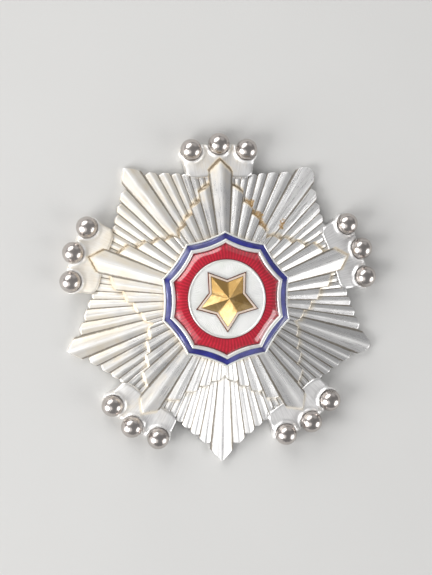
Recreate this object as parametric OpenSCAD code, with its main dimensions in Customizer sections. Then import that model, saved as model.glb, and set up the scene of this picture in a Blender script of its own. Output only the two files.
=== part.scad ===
// Breast star of an order. A domed star plate of struck silver carries five
// fans of radial flutes, a raised five-armed star and a plaque with three
// balls at each arm's tip. A ten-sided enamelled medallion is clamped to its
// middle by a screw post and a round nut behind the plate.
//
// The star lies face up, with z = 0 under its rim, its middle on the Z axis
// and its top towards +Y. Angles run clockwise from +Y, seen from the front.

/* [Ray fans] */
// Radius to the tips of the five fans
fan_reach = 30.9; // [29:0.1:33]
// Roof-shaped flutes on each side of a fan's middle ray
fan_flutes = 7; // [5:1:8]
// Half angle of a fan's middle ray
fan_ray_angle = 4.4; // [3:0.1:6]
// Angle of the first flute, next to the middle ray
fan_flute_angle = 5.2; // [4:0.1:6]
// Angle of each flute as a share of the one before it
fan_flute_shrink = 0.9; // [0.8:0.01:0.95]

/* [Raised star] */
// Radius to the tips of the five raised arms
arm_reach = 26.1; // [25:0.1:27]
// Roof-shaped flutes on each side of an arm's middle ray
arm_flutes = 4; // [3:1:4]
// Half angle of an arm's middle ray
arm_ray_angle = 5.6; // [4:0.1:7]
// Angle of each flute beside the middle ray
arm_flute_angle = 6.9; // [5:0.1:7]
// Height of the raised star above the fans
arm_lift = 0.75; // [0.3:0.05:1.2]

/* [Dome] */
// Fall of the plate's surface for each millimetre of radius
dome_fall = 0.216; // [0.1:0.002:0.24]
// Height of the furrows at the fans' tips
rim_height = 0.45; // [0.3:0.05:1]
// Depth of the hollow behind the middle of the plate
hollow_depth = 4.4; // [3:0.1:4.4]

/* [Plaques and balls] */
// Radius of a ball
ball_r = 2.07; // [1.5:0.01:2.2]
// Radius from the star's middle to each arm's middle ball
mid_ball_reach = 29.2; // [28:0.1:30]
// Radius from the star's middle to each arm's outer balls
side_ball_reach = 28.6; // [28:0.1:30]
// Angle between two balls
ball_spread = 10.8; // [9:0.1:11.5]
// Width of the collar round a ball
collar_w = 0.4; // [0.2:0.05:0.5]

/* [Medallion] */
// Radius to the ten corners of the medallion
medallion_r = 12.8; // [12:0.1:13.4]
// Depth of the hollow curve of each of its ten sides
side_bow = 0.38; // [0.2:0.02:0.6]
// Radius of the ribbed disc in its middle
disc_r = 7.4; // [6.6:0.1:8]
// Radius to the points of the gold star
gold_star_r = 6.3; // [5:0.1:6.4]
// Height of the gold star
gold_star_h = 2.05; // [1:0.05:2.5]
// Gap round each enamel and under the medallion
fit_gap = 0.05; // [0.03:0.01:0.1]

/* [Screw post and nut] */
// Radius of the post's free end
post_r = 1.5; // [1:0.1:2]
// Radius of the nut
nut_r = 4.5; // [3:0.1:6]
// Thickness of the nut
nut_h = 1.3; // [1:0.1:2]

/* [Hidden] */

ARMS = 5;
SECTOR = 360 / ARMS;
TENTH = 360 / 10;
ROUND = 96;
BALL_FN = 26;

// How far a cut runs past what it shapes, and the width of the block that
// trims a plaque
CUT_OVER = 5;
BLOCK_W = 30;

// The front of the plate is a pleated cone. Every facet is a plane through
// the cone's apex, so ridges and furrows are straight radial lines.
fan_apex = rim_height + dome_fall * fan_reach;
arm_apex = fan_apex + arm_lift;
pleat_reach = 36;
roof_steepness = 0.35;

// The ends of the fans' flutes lie on a straight flank. It falls by this
// much for each millimetre away from the fan's axis.
fan_flank_top = fan_reach - 0.7;
fan_flank_fall = 0.82;
leaf_bow = 0.33;
leaf_steps = 3;
leaf_overhang = 0.2;
arm_flank_top = arm_reach + 0.9;
arm_flank_fall = 1.85;
arm_shoulder_r = arm_reach - 2.2;
arm_cap_inner_cut = 0.15;
arm_cap_outer_cut = 0.45;
notch_r = medallion_r + 1.5;

// The plaque's rim is scalloped, and draws in by this much at each ball
plaque_scallop = 0.5;
plaque_rim_steps = 3;
plaque_inner_r = 23.6;
plaque_outer_r = 29.3;
plaque_nose_angle = 4;
plaque_shoulder_angle = 12.2;
plaque_half_angle = 15.2;
plaque_taper = 0.8;
plaque_top = 2.65;
plaque_tilt = 13;
plaque_corner_r = 24.4;
collar_h = 0.3;

seat_z = 6;
seat_r = 12;
hollow_flat_r = 10.5;
hollow_shoulder_r = 13;
hollow_shoulder_z = 3.3;
rest_band_r = 28.2;

base_z = seat_z + fit_gap;
side_steps = 6;
rim_top = 7.2;
line_top = 7.5;
ring_top = 7.95;
disc_top = 7.8;
enamel_depth = 0.6;
rim_w = 0.35;
line_outer_r = medallion_r - 1.4;
line_inner_r = medallion_r - 2.2;
ring_w = 0.35;
enamel_sink = 0.05;
post_end_z = 0.4;
post_root = 0.5;
neck_r = post_r + 0.2;
bore_r = neck_r + 0.1;
nut_z = hollow_depth - fit_gap - nut_h;
star_waist = 0.59;
star_foot_h = 0.1;
star_edge_h = 0.4;
star_rim_r = gold_star_r - 0.35;
star_field_r = gold_star_r - 1.1;

function polar(a, r) = [r * sin(a), r * cos(a)];
function at(a, r, z) = [r * sin(a), r * cos(a), z];

// A line from p towards q, bowed to its left by bow in the middle
function bowed(p, q, bow, steps) = [
    for (i = [0 : steps - 1])
        let(t = i / steps, along = (q - p) / norm(q - p))
            p + t * (q - p) + 4 * bow * t * (1 - t) * [-along.y, along.x]
];

// The mirror image of one side, without the tip that both sides share
function mirrored(points) = [
    for (i = [len(points) - 1 : -1 : 1]) [-points[i].x, points[i].y]
];

// Angle of the furrow that follows flute i of a fan or of an arm
function fan_furrow(i) = fan_ray_angle
    + fan_flute_angle * (1 - pow(fan_flute_shrink, i + 1)) / (1 - fan_flute_shrink);
function arm_furrow(i) = arm_ray_angle + arm_flute_angle * (i + 1);
function fan_ridge(i) = (fan_furrow(i - 1) + fan_furrow(i)) / 2;
function arm_ridge(i) = (arm_furrow(i - 1) + arm_furrow(i)) / 2;

// Radius of a straight flank at an angle from the axis
function flank(top, fall, a) = top / (cos(a) + fall * sin(a));
function fan_flank(a) = flank(fan_flank_top, fan_flank_fall, a);
function arm_flank(a) = flank(arm_flank_top, arm_flank_fall, a);

// Height of the cone's surface over its apex line
function cone_z(apex, r) = apex - dome_fall * r;

// Point where the leaf-shaped tip of a fan meets its first flute
function leaf_base() = polar(fan_ray_angle, fan_flank(fan_ray_angle) + leaf_overhang);

// One side of a fan: half its leaf-shaped tip, then a step for each flute
function fan_side() = concat(
    bowed(polar(0, fan_reach), leaf_base(), leaf_bow, leaf_steps),
    [leaf_base()],
    [for (i = [0 : fan_flutes - 1]) each [
        polar(fan_furrow(i - 1), fan_flank(fan_ridge(i))),
        polar(fan_ridge(i), fan_flank(fan_ridge(i))),
        polar(fan_furrow(i), fan_flank(fan_furrow(i))),
    ]]
);

// One side of an arm: half its gable, the cap of each side flute and the notch
// where it meets the next arm
function arm_side() = concat(
    [polar(0, arm_reach), polar(arm_ray_angle, arm_shoulder_r)],
    [for (i = [0 : arm_flutes - 1]) let(end = arm_flank(arm_ridge(i))) each [
        polar(arm_furrow(i - 1), end - arm_cap_inner_cut),
        polar(arm_ridge(i), end),
        polar(arm_furrow(i), end - arm_cap_outer_cut),
    ]],
    [polar(SECTOR / 2, notch_r)]
);

// A ridge with a furrow on each side: angle and rise for each unit of radius
function pleat(from, to) = [
    [(from + to) / 2, roof_steepness * sin((to - from) / 2)],
    [to, 0],
];

// Pleats of one side of a sector, out to the border that it shares with the next
function fan_pleats() = concat(
    pleat(-fan_ray_angle, fan_ray_angle),
    [for (i = [0 : fan_flutes - 1]) each pleat(fan_furrow(i - 1), fan_furrow(i))],
    [[SECTOR / 2, 0]]
);
function arm_pleats() = concat(
    pleat(-arm_ray_angle, arm_ray_angle),
    [for (i = [0 : arm_flutes - 1]) each pleat(arm_furrow(i - 1), arm_furrow(i))],
    pleat(arm_furrow(arm_flutes - 1), SECTOR / 2)
);

// The pleats of one sector, without the border on its left
function both_sides(side) = concat(
    [for (i = [len(side) - 2 : -1 : 1]) [-side[i][0], side[i][1]]],
    side
);

// Cone with straight pleats, repeated in every sector
module pleated_cone(apex, side, turn) {
    pleats = [
        for (k = [0 : ARMS - 1], p = both_sides(side)) [p[0] + turn + k * SECTOR, p[1]]
    ];
    n = len(pleats);
    rim = [for (p = pleats)
        at(p[0], pleat_reach, cone_z(apex, pleat_reach) + p[1] * pleat_reach)];
    foot_z = min([for (p = rim) p.z]) - 1;
    foot = [for (p = pleats) at(p[0], pleat_reach, foot_z)];
    faces = [
        for (i = [0 : n - 1]) let(j = (i + 1) % n) each [
            [0, i + 1, j + 1],
            [i + 1, n + 1 + i, n + 1 + j, j + 1],
        ],
        [for (i = [n - 1 : -1 : 0]) n + 1 + i],
    ];
    polyhedron(concat([[0, 0, apex]], rim, foot), faces);
}

// Upright prism over the outline that one side of an arm or a fan gives
module star_prism(side, turn) {
    linear_extrude(arm_apex)
        for (k = [0 : ARMS - 1])
            rotate(-turn - k * SECTOR)
                polygon(concat([[0, 0]], mirrored(side), side));
}

// Radius of the plaque's rim at an angle from the arm's axis
function plaque_rim(a) =
    plaque_outer_r - plaque_scallop * (1 + cos(a * 360 / ball_spread)) / 2;

// One side of a plaque, from the middle of its rim down to its inner edge
function plaque_side() = concat(
    [for (i = [0 : plaque_rim_steps])
        let(a = i * ball_spread / plaque_rim_steps)
            polar(a, plaque_rim(a))],
    [
        polar(plaque_half_angle - plaque_taper, side_ball_reach),
        polar(plaque_half_angle, plaque_corner_r),
        polar(plaque_shoulder_angle, plaque_inner_r),
        polar(plaque_nose_angle, plaque_inner_r),
    ]
);

// The plaque's outline, its rim towards +Y
module plaque_outline() {
    polygon(concat(plaque_side(), mirrored(plaque_side())));
}

// Block whose top is the plaque's tilted face, raised by lift
module plaque_block(lift) {
    translate([0, plaque_inner_r, plaque_top + lift])
        rotate([-plaque_tilt, 0, 0])
            translate([0, 0, -BLOCK_W / 2])
                cube(BLOCK_W, center = true);
}

module plaque() {
    intersection() {
        linear_extrude(seat_z)
            plaque_outline();
        plaque_block(0);
    }
    intersection() {
        linear_extrude(seat_z)
            intersection() {
                plaque_outline();
                for (b = [-1 : 1])
                    translate(polar(b * ball_spread, ball_reach(b)))
                        circle(ball_r + collar_w, $fn = BALL_FN);
            }
        plaque_block(collar_h);
    }
}

function ball_reach(b) = b == 0 ? mid_ball_reach : side_ball_reach;

// The balls hang over the plaque's rim and touch the surface under the star
module balls() {
    for (b = [-1 : 1])
        translate(at(b * ball_spread, ball_reach(b), ball_r))
            sphere(ball_r, $fn = BALL_FN);
}

// The struck plate in one piece, with its seat for the medallion and its bore
module star_plate() {
    color("silver")
        difference() {
            union() {
                intersection() {
                    pleated_cone(fan_apex, fan_pleats(), SECTOR / 2);
                    star_prism(fan_side(), SECTOR / 2);
                }
                intersection() {
                    pleated_cone(arm_apex, arm_pleats(), 0);
                    star_prism(arm_side(), 0);
                }
                for (k = [0 : ARMS - 1])
                    rotate(-k * SECTOR) {
                        plaque();
                        balls();
                    }
            }
            translate([0, 0, seat_z])
                cylinder(h = arm_apex, r = seat_r, $fn = ROUND);
            plate_hollow();
            translate([0, 0, -CUT_OVER])
                cylinder(h = CUT_OVER + arm_apex, r = bore_r, $fn = ROUND);
        }
}

// The hollow behind the plate and everything below the surface it lies on
module plate_hollow() {
    rotate_extrude($fn = ROUND)
        polygon([
            [0, -CUT_OVER], [0, hollow_depth], [hollow_flat_r, hollow_depth],
            [hollow_shoulder_r, hollow_shoulder_z], [rest_band_r, 0],
            [pleat_reach + CUT_OVER, 0], [pleat_reach + CUT_OVER, -CUT_OVER],
        ]);
}

// Ten-sided outline with hollow sides, its corners at radius r
module ten_sides(r) {
    polygon([
        for (k = [0 : 9])
            each bowed(polar(TENTH * k, r), polar(TENTH * (k + 1), r), -side_bow, side_steps)
    ]);
}

// The medallion's silver tray with its walls, its disc and its stepped post
module medallion_base() {
    color("gainsboro") {
        difference() {
            union() {
                translate([0, 0, base_z])
                    linear_extrude(rim_top - base_z)
                        ten_sides(medallion_r);
                translate([0, 0, base_z])
                    linear_extrude(line_top - base_z)
                        ten_sides(line_outer_r);
                translate([0, 0, base_z])
                    cylinder(h = ring_top - base_z, r = disc_r, $fn = ROUND);
                translate([0, 0, post_end_z])
                    cylinder(h = base_z - post_end_z, r = post_r, $fn = ROUND);
                translate([0, 0, nut_z])
                    cylinder(h = base_z + post_root - nut_z, r = neck_r, $fn = ROUND);
            }
            blue_channel(0);
            red_channel(0);
            translate([0, 0, disc_top])
                cylinder(h = CUT_OVER, r = disc_r - ring_w, $fn = ROUND);
        }
    }
}

// The channel for the blue enamel, narrowed all round by gap
module blue_channel(gap) {
    translate([0, 0, rim_top - enamel_depth + gap])
        linear_extrude(gap > 0 ? enamel_depth - gap - enamel_sink : CUT_OVER)
            difference() {
                ten_sides(medallion_r - rim_w - gap);
                ten_sides(line_outer_r + gap);
            }
}

// The channel for the red enamel, narrowed all round by gap
module red_channel(gap) {
    translate([0, 0, line_top - enamel_depth + gap])
        linear_extrude(gap > 0 ? enamel_depth - gap - enamel_sink : CUT_OVER)
            difference() {
                ten_sides(line_inner_r - gap);
                circle(disc_r + gap, $fn = ROUND);
            }
}

module blue_enamel() {
    color("midnightblue")
        blue_channel(fit_gap);
}

module red_enamel() {
    color("crimson")
        red_channel(fit_gap);
}

// Corners of a five-pointed star that points down
function star_ring(r) = [
    for (i = [0 : 9]) polar(TENTH * i, i % 2 == 0 ? r * star_waist : r)
];
function raised_ring(r, z) = [for (p = star_ring(r)) [p.x, p.y, z]];

// A thin foot, a sloping edge, a flat rim and ten facets that meet in a point
module gold_star() {
    bottom = disc_top + fit_gap;
    rings = [
        raised_ring(gold_star_r, bottom + star_foot_h),
        raised_ring(star_rim_r, bottom + star_edge_h),
        raised_ring(star_field_r, bottom + star_edge_h),
    ];
    points = concat([for (ring = rings) each ring], [[0, 0, bottom + gold_star_h]]);
    color("goldenrod") {
        translate([0, 0, bottom])
            linear_extrude(star_foot_h)
                polygon(star_ring(gold_star_r));
        polyhedron(points, concat(
            [[for (i = [9 : -1 : 0]) i]],
            [for (k = [0 : 1], i = [0 : 9]) let(j = (i + 1) % 10)
                [10 * k + i, 10 * k + j, 10 * k + 10 + j, 10 * k + 10 + i]],
            [for (i = [0 : 9]) [20 + i, 20 + (i + 1) % 10, 30]]
        ));
    }
}

// The plain round nut that clamps the medallion to the plate
module back_nut() {
    color("darkgray")
        translate([0, 0, nut_z])
            difference() {
                cylinder(h = nut_h, r = nut_r, $fn = ROUND);
                translate([0, 0, -CUT_OVER])
                    cylinder(h = nut_h + 2 * CUT_OVER, r = bore_r, $fn = ROUND);
            }
}

star_plate();
medallion_base();
blue_enamel();
red_enamel();
gold_star();
back_nut();
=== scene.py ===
# %% [markdown]
# # A breast star of an order
# The real star is a domed plate of silver, struck in a die. Five fans of
# roof-shaped flutes carry a raised five-armed star, and a plaque with three
# soldered balls sits at each arm's tip. A ten-sided enamelled medallion is
# clamped to its middle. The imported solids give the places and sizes. Shapes
# are in millimetres here and turn into metres when a mesh is made.

import random
from bisect import bisect
from collections import namedtuple
from math import atan2, copysign, cos, degrees, exp, hypot, inf, pi, radians, sin, sqrt, tan

import bpy
from mathutils import Matrix, Vector, geometry, noise


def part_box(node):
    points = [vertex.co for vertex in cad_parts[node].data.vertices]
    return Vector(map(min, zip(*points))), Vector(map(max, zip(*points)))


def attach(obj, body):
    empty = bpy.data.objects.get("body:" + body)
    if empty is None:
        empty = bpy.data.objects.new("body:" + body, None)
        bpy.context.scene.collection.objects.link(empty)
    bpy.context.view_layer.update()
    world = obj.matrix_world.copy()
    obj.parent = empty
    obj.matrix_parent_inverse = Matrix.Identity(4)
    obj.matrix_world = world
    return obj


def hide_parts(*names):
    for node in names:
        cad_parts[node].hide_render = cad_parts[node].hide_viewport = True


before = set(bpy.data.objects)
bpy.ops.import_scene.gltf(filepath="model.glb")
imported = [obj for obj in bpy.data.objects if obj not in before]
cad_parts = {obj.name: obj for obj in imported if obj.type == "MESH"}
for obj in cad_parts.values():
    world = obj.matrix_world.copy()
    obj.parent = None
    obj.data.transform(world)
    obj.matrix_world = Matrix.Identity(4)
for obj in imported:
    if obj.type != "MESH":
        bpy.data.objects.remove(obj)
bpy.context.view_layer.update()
MM = 0.001
plate_lo, plate_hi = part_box("star_plate")
base_lo, base_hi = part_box("medallion_base")
print("nodes:", ", ".join(sorted(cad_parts)))

# %% [markdown]
# ## Plate sizes
# These repeat the star's driving sizes. The reach of the fans and the width of
# the medallion come from the solids, and the rest are the die's own angles and
# heights. Angles run clockwise from the top arm, in degrees.

# %% Sizes of the plate
ARMS = 5
SECTOR = 360 / ARMS
FAN_REACH = -plate_lo.y / MM
FAN_RAY = 4.4
FAN_FLUTE = 5.2
FAN_SHRINK = 0.9
FAN_FLUTES = 7
ARM_REACH = 26.1
ARM_RAY = 5.6
ARM_FLUTE = 6.9
ARM_FLUTES = 4
FAN_FLANK = (FAN_REACH - 0.7, 0.82)
ARM_FLANK = (ARM_REACH + 0.25, 1.64)
LEAF_OVERHANG = 0.2
GABLE_DROP = 2.2
DOME_FALL = 0.216
RIM_HEIGHT = 0.45
ARM_LIFT = 0.75
ROOF = 0.35
FAN_APEX = RIM_HEIGHT + DOME_FALL * FAN_REACH
ARM_APEX = FAN_APEX + ARM_LIFT
SEAT_Z = 6.0
BORE_R = 1.8
MEDALLION_R = base_hi.y / MM
NOTCH_R = MEDALLION_R + 1.5
HOLLOW = [(1.8, 4.4), (10.5, 4.4), (13.0, 3.3), (28.2, 0.0), (40.0, 0.0)]
print(f"fans reach {FAN_REACH:.2f} mm and the medallion {MEDALLION_R:.2f} mm")


def polar(turn, r):
    """The point at an angle from the top arm and a radius."""
    return r * sin(radians(turn)), r * cos(radians(turn))


def smooth(lo, hi, value):
    """0 below lo, 1 above hi and an even curve between them."""
    t = min(max((value - lo) / (hi - lo), 0), 1)
    return t * t * (3 - 2 * t)


def read_line(line, x):
    """The height of a line of (x, y) points at x."""
    for (x0, y0), (x1, y1) in zip(line, line[1:]):
        if x <= x1:
            return y0 + (y1 - y0) * max(x - x0, 0) / (x1 - x0)
    return line[-1][1]


def ripple(x, y, size, seed):
    """Even noise between -1 and 1 whose waves are about size long."""
    return noise.noise(Vector((x / size, y / size, seed)))


# %% [markdown]
# ## How a mesh is made
# A struck or turned piece is a closed skin, so nearly every piece here is a
# grid of rings that closes on itself, or that a point closes at each end.
# Numbers on its points tell the finishes how much dirt or wear lies there,
# because tarnish stays where the shape keeps a cloth away. Others say where
# painted highlights and painted shade go.

# %% Mesh makers
made = []


def new_object(name, data):
    """An object in the scene."""
    item = bpy.data.objects.new(name, data)
    bpy.context.scene.collection.objects.link(item)
    return item


def make_piece(name, points, faces, marks=None, crease=40):
    """A mesh from points in millimetres, with named numbers on its points."""
    mesh = bpy.data.meshes.new(name)
    mesh.from_pydata([Vector(p) * MM for p in points], [], faces)
    mesh.update()
    mesh.shade_smooth()
    mesh.set_sharp_from_angle(angle=radians(crease))
    for mark, values in (marks or {}).items():
        layer = mesh.attributes.new(mark, "FLOAT", "POINT")
        layer.data.foreach_set("value", values)
    piece = new_object(name, mesh)
    made.append(piece)
    print(f"{name}: {len(points)} points, {sum(len(f) - 2 for f in faces)} triangles")
    return piece


def grid_faces(rings, per_ring, close_ends=True):
    """Faces between rings of points. The last ring may join the first."""
    faces = []
    for i in range(rings if close_ends else rings - 1):
        a = i * per_ring
        b = (i + 1) % rings * per_ring
        for j in range(per_ring):
            k = (j + 1) % per_ring
            faces.append((a + j, b + j, b + k, a + k))
    return faces


def capped_grid(rings, first, last):
    """Points and faces of rings in a row, with a point to close each end."""
    count = len(rings[0])
    points = [p for ring in rings for p in ring] + [first, last]
    faces = grid_faces(len(rings), count, close_ends=False)
    start, end, row = len(points) - 2, len(points) - 1, (len(rings) - 1) * count
    for j in range(count):
        k = (j + 1) % count
        faces += [(start, j, k), (end, row + k, row + j)]
    return points, faces


def settle(piece, node, material):
    """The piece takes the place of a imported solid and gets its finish."""
    piece.data.materials.append(material)
    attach(piece, "root")
    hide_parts(node)


# %% [markdown]
# ## Outlines of the star
# Each fan and each arm is a row of flutes that end in steps along a straight
# flank. A flute is kept as its two furrows and the radius where these and its
# ridge end. The middle ray of a fan has a leaf-shaped tip and that of an arm a
# gable, so those ends are read from a short line.

# %% Flutes of the fans and arms
def fan_furrow(i):
    """Angle of a fan's furrow. The flutes get narrower outwards."""
    return FAN_RAY + FAN_FLUTE * (1 - FAN_SHRINK ** (i + 1)) / (1 - FAN_SHRINK)


def arm_furrow(i):
    """Angle of an arm's furrow."""
    return ARM_RAY + ARM_FLUTE * (i + 1)


def flank(line, turn):
    """Radius at an angle of a straight flank, given by its top and its fall."""
    top, fall = line
    a = radians(turn)
    return top / (cos(a) + fall * sin(a))


TIP_BOWS = (0.33, 0.28, 0.06, 0.10, 0.10)
TIP_BLUNT, BLUNT_FROM, BLUNT_ANGLE = 1.8, 0.15, 0.9
TIP_STEPS = 20


def tip_line(turn, start, end, bow):
    """(angle, radius) along a bowed line from the tip, which is blunt."""
    p, q = Vector(polar(0, start)), Vector(polar(turn, end))
    side = Vector((p.y - q.y, q.x - p.x)).normalized()
    blunt = TIP_BLUNT * max(bow - BLUNT_FROM, 0)
    line = []
    for i in range(TIP_STEPS + 1):
        t = i / TIP_STEPS
        x, y = p.lerp(q, t) + 4 * bow * t * (1 - t) * side
        away = degrees(atan2(x, y))
        line.append((away, hypot(x, y) - blunt * exp(-((away / BLUNT_ANGLE) ** 2))))
    return line


LEAVES = [tip_line(FAN_RAY, FAN_REACH, flank(FAN_FLANK, FAN_RAY) + LEAF_OVERHANG, bow) for bow in TIP_BOWS]
GABLES = [tip_line(ARM_RAY, ARM_REACH, ARM_REACH - GABLE_DROP, 0)] * ARMS
SLANT = 0.4


def side_flutes(furrow, count, line, inner_slant, outer_slant):
    """Flutes on one side: two furrows and three end radii each."""
    flutes = []
    for i in range(count):
        a, b = furrow(i - 1), furrow(i)
        end = flank(line, (a + b) / 2)
        inner, outer = flank(line, a) - end, flank(line, b) - end
        flutes.append((a, b, end + inner_slant * inner, end, end + outer_slant * outer))
    return flutes


fan_side = side_flutes(fan_furrow, FAN_FLUTES, FAN_FLANK, 0, 1)
arm_side = side_flutes(arm_furrow, ARM_FLUTES, ARM_FLANK, SLANT, SLANT)
last = arm_side[-1][4]
arm_side.append((arm_furrow(ARM_FLUTES - 1), SECTOR / 2, last, (last + NOTCH_R) / 2, NOTCH_R))
print("a fan's furrows:", [round(fan_furrow(i), 1) for i in range(FAN_FLUTES)])

# %% [markdown]
# ## Errors of hand work
# The plaques were soldered on by hand, so each sits a little out of place, and
# the raised star's tips aren't of one length. These are the photograph's
# errors, clockwise from the top arm.

# %% Errors of the arms
ARM_ERRORS = [
    # longer tip, turn of the plaque, plaque further out
    (0.20, -0.1, 0.25),
    (-0.30, -0.7, -0.10),
    (0.00, 0.0, 0.15),
    (0.25, 0.2, 0.45),
    (0.25, -0.2, 0.50),
]
print("furthest plaque error", max(out for longer, turn, out in ARM_ERRORS), "mm")

# %% [markdown]
# ## Columns across the flutes
# The plate is drawn as columns that run from the middle out to the rim. A few
# across each flute are enough: close together at the ridge, which is worn
# round, and at the furrow, which stays sharp. A hand-cut die is uneven, so
# every flute gets small errors of height, place and length from one seed.

# %% Columns of a fluted star
ACROSS = [-1, -0.95, -0.72, -0.4, -0.15, -0.06, 0, 0.06, 0.15, 0.4, 0.72, 0.95, 1]
Column = namedtuple("Column", "turn rise end across seed")
WORN = 0.11
FURROW_GAP = 0.05
END_ROUND = 0.16
FURROW_ERROR, LEAN_ERROR = 0.25, 0.05
RISE_SHARES, END_ERRORS = (0.94, 1.03), (-0.1, 0.04)
luck = random.Random(7)


def flute_columns(centre, side, flute, tip=None, longer=0.0):
    """The columns of one flute."""
    a, b, *ends = flute
    half = (b - a) / 2
    rise = ROOF * sin(radians(half)) * luck.uniform(*RISE_SHARES)
    lean = luck.uniform(-LEAN_ERROR, LEAN_ERROR)
    reach = longer if tip else luck.uniform(*END_ERRORS)
    seed = luck.uniform(0, 99)
    columns = []
    for s in ACROSS:
        turn = (a + b) / 2 + half * (s + lean * (1 - abs(s)))
        turn -= copysign(FURROW_GAP, s) if abs(s) == 1 else 0
        if tip:
            end = read_line(tip, abs(turn))
        else:
            slope = ends[2] - ends[1] if s > 0 else ends[1] - ends[0]
            end = ends[1] + slope * s - END_ROUND * s ** 4
        ridge = rise * max(1 - hypot(s, WORN), 0)
        columns.append(Column(centre + side * turn, ridge, end + reach, s, seed))
    return columns if side > 0 else columns[::-1]


def uneven(flutes):
    """One side's flutes with their furrows a little out of place."""
    shifts = [luck.uniform(-FURROW_ERROR, FURROW_ERROR) for flute in flutes] + [0]
    return [(a + p, b + q, *ends) for (a, b, *ends), p, q in zip(flutes, shifts, shifts[1:])]


def star_columns(flutes, tips, first_turn, longer):
    """Columns of all five sectors, in order of their angle."""
    columns = []
    for k in range(ARMS):
        centre = first_turn + k * SECTOR
        left, right = uneven(flutes), uneven(flutes)
        for flute in reversed(left):
            columns += flute_columns(centre, -1, flute)
        columns += flute_columns(centre, 1, (-left[0][0], right[0][0]), tips[k], longer[k])
        for flute in right:
            columns += flute_columns(centre, 1, flute)
    return columns


fan_columns = star_columns(fan_side, LEAVES, SECTOR / 2, [0] * ARMS)
arm_columns = star_columns(arm_side, GABLES, 0, [error[0] for error in ARM_ERRORS])
arm_outline = sorted((column.turn % 360, column.end) for column in arm_columns)
(first_turn, first_end), (last_turn, last_end) = arm_outline[0], arm_outline[-1]
arm_outline = [(last_turn - 360, last_end)] + arm_outline + [(first_turn + 360, first_end)]
print(len(fan_columns), "columns in the fans,", len(arm_columns), "in the raised star")


# %% [markdown]
# ## Where the dirt sits
# Tarnish and dried polish stay where a cloth can't reach: along the foot of
# the raised star's edge and in the furrows, which also get painted shade. The
# plate is also made darker round the medallion's edge. The shapes give these
# distances, so the dirt is worked out here for every point. It is widest at the
# lower right. Brown stain lies by one stretch of the edge.

# %% Dirt and stains
def arm_edge(turn):
    """Radius of the raised star's edge at an angle."""
    turn %= 360
    after = bisect(arm_outline, (turn, inf))
    (a, p), (b, q) = arm_outline[after - 1], arm_outline[after]
    return p + (q - p) * (turn - a) / max(b - a, 1e-6)


STAINS = [
    # turn, radius, size along the ray, size across it
    (39.0, 18.7, 1.0, 0.6),
    (41.0, 17.8, 0.8, 0.5),
    (26.0, 17.5, 0.7, 0.8),
    (18.5, 19.3, 0.9, 0.5),
]
BROWN_SEAM, BROWN_FADE = (12, 35), 3
BROWN_OUT, BROWN_W = 0.5, 0.65
DIRTY_SIDE, DIRTY_SHARE = 345, 0.35
WIDE_SIDE, WIDER = 125, 0.3
SEAM_W, SEAM_UNEVEN = 0.75, 0.35
LEDGE_W, LEDGE_UNEVEN, LEDGE_DIRT = 0.45, 0.3, 0.75
MEDALLION_RING_DARKENING = 0.7


def past_edge(x, y):
    """How far outside the raised star's edge a point lies."""
    return hypot(x, y) - arm_edge(degrees(atan2(x, y)))


def facing(x, y, turn):
    """1 on the side of the star at an angle, -1 on the opposite side."""
    return cos(atan2(x, y) - radians(turn))


def side_dirt(x, y):
    """How much dirt that side of the star keeps."""
    return 1 - DIRTY_SHARE + DIRTY_SHARE * facing(x, y, DIRTY_SIDE)


def medallion_ring_darkening(x, y):
    """Darkening of the plate round the medallion's edge."""
    return MEDALLION_RING_DARKENING * (1 - smooth(MEDALLION_R - 0.9, MEDALLION_R - 0.1, hypot(x, y)))


def ledge_dirt(x, y):
    """A little dirt on top of the raised star, along its edge."""
    width = LEDGE_W + LEDGE_UNEVEN * ripple(x, y, 1.2, 81)
    return side_dirt(x, y) * LEDGE_DIRT * (1 - smooth(0.0, width, -past_edge(x, y)))


def seam_dirt(x, y):
    """Dirt at the foot of the raised star's edge, and the darkening round the medallion."""
    out = past_edge(x, y)
    width = SEAM_W + WIDER * max(facing(x, y, WIDE_SIDE), 0) + SEAM_UNEVEN * ripple(x, y, 1.5, 77)
    foot = exp(-((out / width) ** 2)) if out > -0.1 else 0
    return max(foot * side_dirt(x, y), medallion_ring_darkening(x, y))


def stain(x, y):
    """How much brown stain lies at a point."""
    turn, r = degrees(atan2(x, y)), hypot(x, y)
    start, end = BROWN_SEAM
    along = smooth(start, start + BROWN_FADE, turn) * (1 - smooth(end - BROWN_FADE, end, turn))
    total = along * exp(-(((r - arm_edge(turn) - BROWN_OUT) / BROWN_W) ** 2)) if along else 0
    for turn, r, along, across in STAINS:
        ux, uy = polar(turn, 1)
        dx, dy = x - r * ux, y - r * uy
        u, v = (dx * ux + dy * uy) / along, (dx * uy - dy * ux) / across
        total += exp(-(u * u + v * v))
    return min(total, 1)


# %% [markdown]
# ## The struck plate and the raised star
# Both are one skin each. A column is a closed loop: up from the bore, out along
# the pleated cone, over a rounded edge, down the wall and back along the hollow
# underside. The loops in a row make a closed ring. The raised star has a
# sloping wall, as a struck edge needs to leave the die, and its underside is
# inside the plate.

# %% Star skins
WAVE, WAVE_SIZE = 0.022, 2.2
FINE_WAVE, FINE_WAVE_SIZE = 0.004, 0.8
RIDGE_WOBBLE, WOBBLE_SIZE = 0.16, 3.1
FURROW_FROM, FURROW_FADE = 0.72, 0.2
# painted highlight along each ridge, fading out from 0.06 to 0.27 of the way to the furrow
RIDGE_HIGHLIGHT_SPAN = (0.06, 0.27)
EDGE_STEPS = (25, 50, 72, 90)
EDGE_TARNISH_AND_SHADE = 0.25
BACK_SKIN = 0.2
WALL_SLOPE = 0.35
SUNK = 0.12
INSET = 0.3
FAN_UNDER = (27.0, 24.0, 21.0, 18.0, 15.0, 13.0, 12.0, 10.5, 8.0, 5.0, 3.0, BORE_R)
ARM_UNDER = (20.0, 14.0, 11.0, 6.0, BORE_R)


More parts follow.
